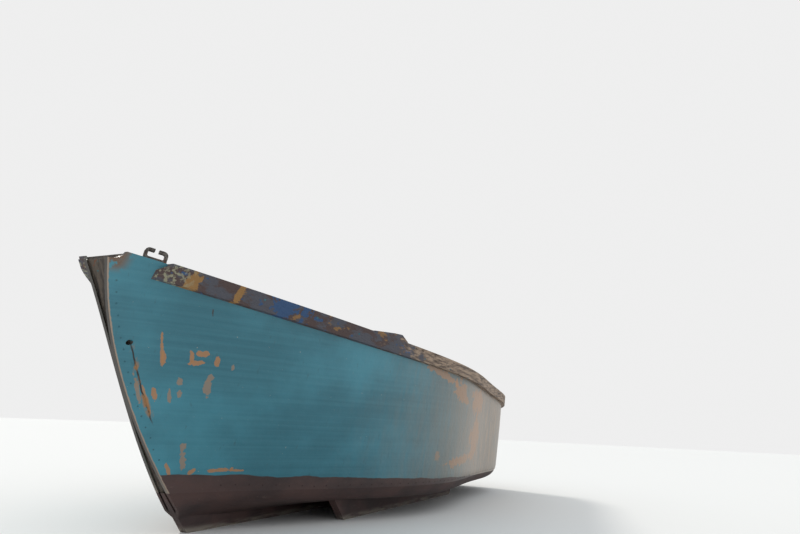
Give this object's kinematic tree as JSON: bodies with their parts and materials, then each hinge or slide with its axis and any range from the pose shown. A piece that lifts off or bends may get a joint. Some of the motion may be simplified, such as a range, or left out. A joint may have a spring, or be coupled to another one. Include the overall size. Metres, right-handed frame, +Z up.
{
  "type": "rowing boat",
  "caption": "Open wooden rowing boat with a hard raked bow, thwarts, stern seat, rubbing rails, bilge runners and wedge-shaped rowlock pads.",
  "frame": {"origin": "on the ground under the middle of the length, in the centre plane, level with the keel's underside", "axes": "+X towards the bow, +Y towards port, +Z up"},
  "size_m": [3.531, 1.4232, 0.9682],
  "materials": {
    "topside_paint": "weathered teal gloss paint",
    "bottom_paint": "matt red-brown bottom paint",
    "rail_wood": "worn teal paint over grey wood",
    "inside_paint": "dull grey-green paint",
    "bare_wood": "weathered oiled wood",
    "galvanized": "dull weathered zinc",
    "brass": "dull"
  },
  "bodies": {
    "root": {"bilge_runner_port": "bottom_paint", "bilge_runner_starboard": "bottom_paint", "bottom_board_centre": "bare_wood", "bottom_boards_port": "bare_wood", "bottom_boards_starboard": "bare_wood", "bottom_planking_port": "bottom_paint", "bottom_planking_starboard": "bottom_paint", "bow_chock": "galvanized", "bow_thwart": "bare_wood", "breasthook": "bare_wood", "centre_thwart": "bare_wood", "drain_plug": "brass", "floor_timbers": "inside_paint", "hog": "inside_paint", "inwale_port": "bare_wood", "inwale_starboard": "bare_wood", "keel": "bottom_paint", "quarter_knee_port": "bare_wood", "quarter_knee_starboard": "bare_wood", "ribs_port": "inside_paint", "ribs_starboard": "inside_paint", "riser_port": "inside_paint", "riser_starboard": "inside_paint", "rowlock_block_port": "bare_wood", "rowlock_block_starboard": "bare_wood", "rowlock_pad_port": "rail_wood", "rowlock_pad_starboard": "rail_wood", "rowlock_socket_port": "galvanized", "rowlock_socket_starboard": "galvanized", "rub_rail_port": "rail_wood", "rub_rail_starboard": "rail_wood", "side_planking_port": "topside_paint", "side_planking_starboard": "topside_paint", "stem_post": "bare_wood", "stern_knee": "inside_paint", "stern_seat": "bare_wood", "thwart_knees_port": "bare_wood", "thwart_knees_starboard": "bare_wood", "thwart_post": "inside_paint", "transom": "topside_paint"}
  },
  "joints": []
}
